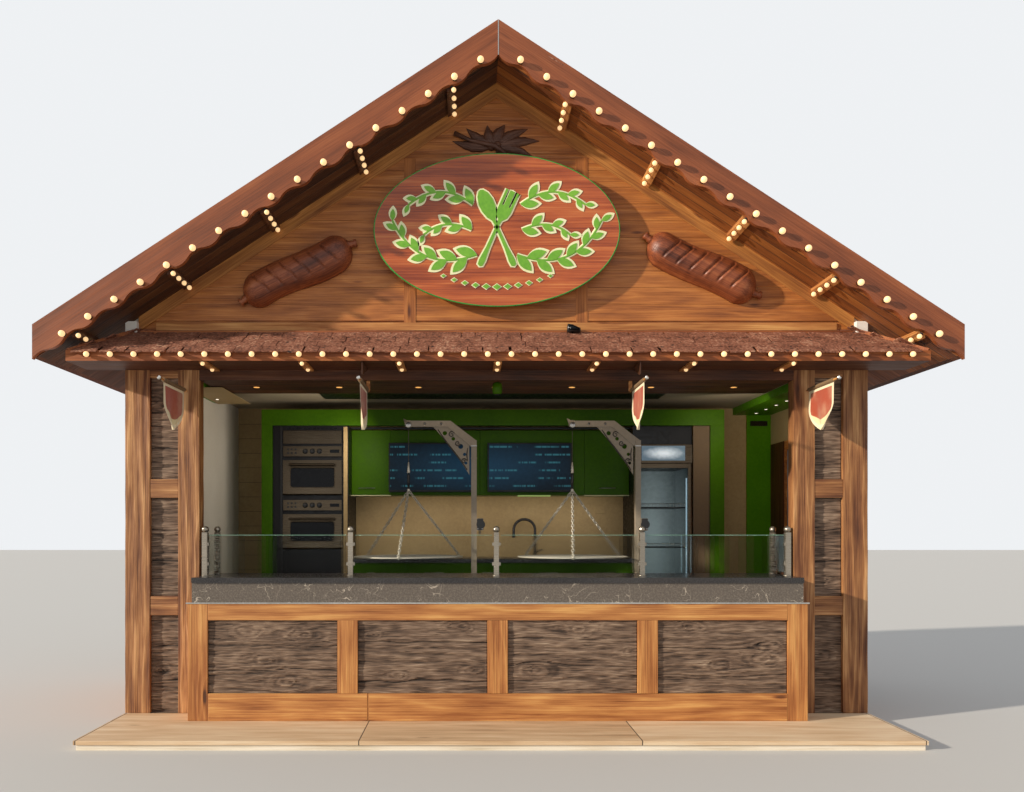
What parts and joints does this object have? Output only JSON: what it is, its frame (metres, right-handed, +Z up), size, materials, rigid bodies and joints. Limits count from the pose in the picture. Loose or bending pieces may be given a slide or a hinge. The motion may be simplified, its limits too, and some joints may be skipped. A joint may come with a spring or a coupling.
{
  "type": "market_hut",
  "caption": "Wooden market hut with a gabled roof, a granite serving counter under a small shake canopy, a green kitchen, swinging hoists with hung grills and a side door",
  "frame": {"origin": "centre of the hut's outline on the ground, under the roof's and platform's middle", "axes": "+X to the right along the counter, +Y into the hut from the serving side, +Z up"},
  "size_m": [7.05, 3.255, 5.4109],
  "materials": {
    "frame_timber": "oiled orange-brown softwood",
    "barge_timber": "oiled red-brown boards with a wavy edge",
    "rough_boards": "dark rough-sawn boards",
    "brushed_boards": "brushed dark brown boards",
    "soffit_boards": "dark brown planed boards",
    "roof_shakes": "split wooden shakes, weathered purple-brown",
    "platform_timber": "pale construction board, worn",
    "floor_boards": "plain plank floor",
    "ceiling_board": "plain grey-beige ceiling board",
    "white_lining": "smooth white wall lining",
    "counter_granite": "dark polished granite with pale veins",
    "steel": "brushed stainless steel",
    "clear_glass": "clear toughened glass",
    "pennant_cloth": "printed cloth, cream border",
    "turned_wood": "turned and oiled wooden rod",
    "sign_face": "glossy red-brown veneer",
    "carved_wood": "carved and painted wood",
    "crane_enamel": "taupe enamelled steel",
    "dark_steel": "plain steel, darkened by smoke",
    "wire_steel": "thin steel wire rope",
    "green_paint": "grass-green lacquered fronts",
    "beige_wall": "beige wall panel",
    "screen_black": "dark screen, bare",
    "cabinet_black": "dark cabinet with a glazed door",
    "door_grey": "grey-blue door leaf"
  },
  "bodies": {
    "hut": {"floor": "floor_boards", "platform_deck": "platform_timber", "platform_bearers": "platform_timber", "flank_posts": "frame_timber", "flank_rails": "frame_timber", "flank_panels": "rough_boards", "left_wall": "brushed_boards", "right_wall_front": "brushed_boards", "right_wall_rear": "brushed_boards", "right_wall_head": "brushed_boards", "back_wall": "brushed_boards", "eave_beams": "frame_timber", "front_gable": "brushed_boards", "gable_trim": "frame_timber", "left_roof": "roof_shakes", "right_roof": "roof_shakes", "left_soffit": "soffit_boards", "right_soffit": "soffit_boards", "rafters": "soffit_boards", "eave_boards": "frame_timber", "left_barge": "barge_timber", "right_barge": "barge_timber", "back_barges": "frame_timber", "canopy_roof": "roof_shakes", "canopy_frame": "frame_timber", "lintel": "frame_timber", "ceiling": "ceiling_board", "ceiling_boxes": "green_paint", "left_lining": "white_lining", "counter_frame": "frame_timber", "counter_panels": "rough_boards", "counter_stone": "counter_granite", "counter_slab": "counter_granite", "counter_back": "beige_wall", "guard_posts": "steel", "guard_glass": "clear_glass", "pennant_rods": "turned_wood", "pennants": "pennant_cloth", "sign_board": "sign_face", "gable_carvings": "carved_wood", "crane_posts": "crane_enamel", "portal_frame": "green_paint", "oven_housing": "steel", "wall_cabinets": "green_paint", "base_cabinets": "green_paint", "worktop": "steel", "screens": "screen_black", "fridge_body": "cabinet_black"},
    "side_door": {"side_door": "door_grey"},
    "left_crane": {"left_crane_arm": "crane_enamel", "left_hoist_wire": "wire_steel"},
    "left_hook": {"left_hook": "dark_steel"},
    "left_grill": {"left_grill": "dark_steel"},
    "right_crane": {"right_crane_arm": "crane_enamel", "right_hoist_wire": "wire_steel"},
    "right_hook": {"right_hook": "dark_steel"},
    "right_grill": {"right_grill": "dark_steel"},
    "lower_oven_door": {"lower_oven_door": "steel"},
    "upper_oven_door": {"upper_oven_door": "steel"},
    "fridge_door": {"fridge_door": "cabinet_black"}
  },
  "joints": [
    {"name": "side_door_hinge", "type": "hinge", "parent": "hut", "child": "side_door", "pos_m": [3.0085, 0.9715, 1.2], "axis": [0, 0, 1], "range_deg": [0, 110]},
    {"name": "lower_oven_door_hinge", "type": "hinge", "parent": "hut", "child": "lower_oven_door", "pos_m": [-1.75, 0.7742, 1.377], "axis": [1, 0, 0], "range_deg": [0, 90]},
    {"name": "upper_oven_door_hinge", "type": "hinge", "parent": "hut", "child": "upper_oven_door", "pos_m": [-1.75, 0.7742, 1.905], "axis": [1, 0, 0], "range_deg": [0, 90]},
    {"name": "fridge_door_hinge", "type": "hinge", "parent": "hut", "child": "fridge_door", "pos_m": [1.947, 0.7875, 1.2], "axis": [0, 0, 1], "range_deg": [0, 100]},
    {"name": "left_crane_swivel", "type": "hinge", "parent": "hut", "child": "left_crane", "pos_m": [-0.175, 0.2475, 2.34], "axis": [0, 0, 1], "range_deg": [-40, 40]},
    {"name": "left_hoist_slide", "type": "slide", "parent": "left_crane", "child": "left_hook", "axis": [0, 0, 1], "range_m": [0, 0.3], "deforming": ["left_hoist_wire"]},
    {"name": "left_grill_turn", "type": "hinge", "parent": "left_hook", "child": "left_grill", "pos_m": [-0.775, 0.2475, 1.93], "axis": [0, 0, 1], "continuous": true},
    {"name": "right_crane_swivel", "type": "hinge", "parent": "hut", "child": "right_crane", "pos_m": [1.327, 0.2475, 2.34], "axis": [0, 0, 1], "range_deg": [-40, 40]},
    {"name": "right_hoist_slide", "type": "slide", "parent": "right_crane", "child": "right_hook", "axis": [0, 0, 1], "range_m": [0, 0.3], "deforming": ["right_hoist_wire"]},
    {"name": "right_grill_turn", "type": "hinge", "parent": "right_hook", "child": "right_grill", "pos_m": [0.727, 0.2475, 1.93], "axis": [0, 0, 1], "continuous": true}
  ]
}
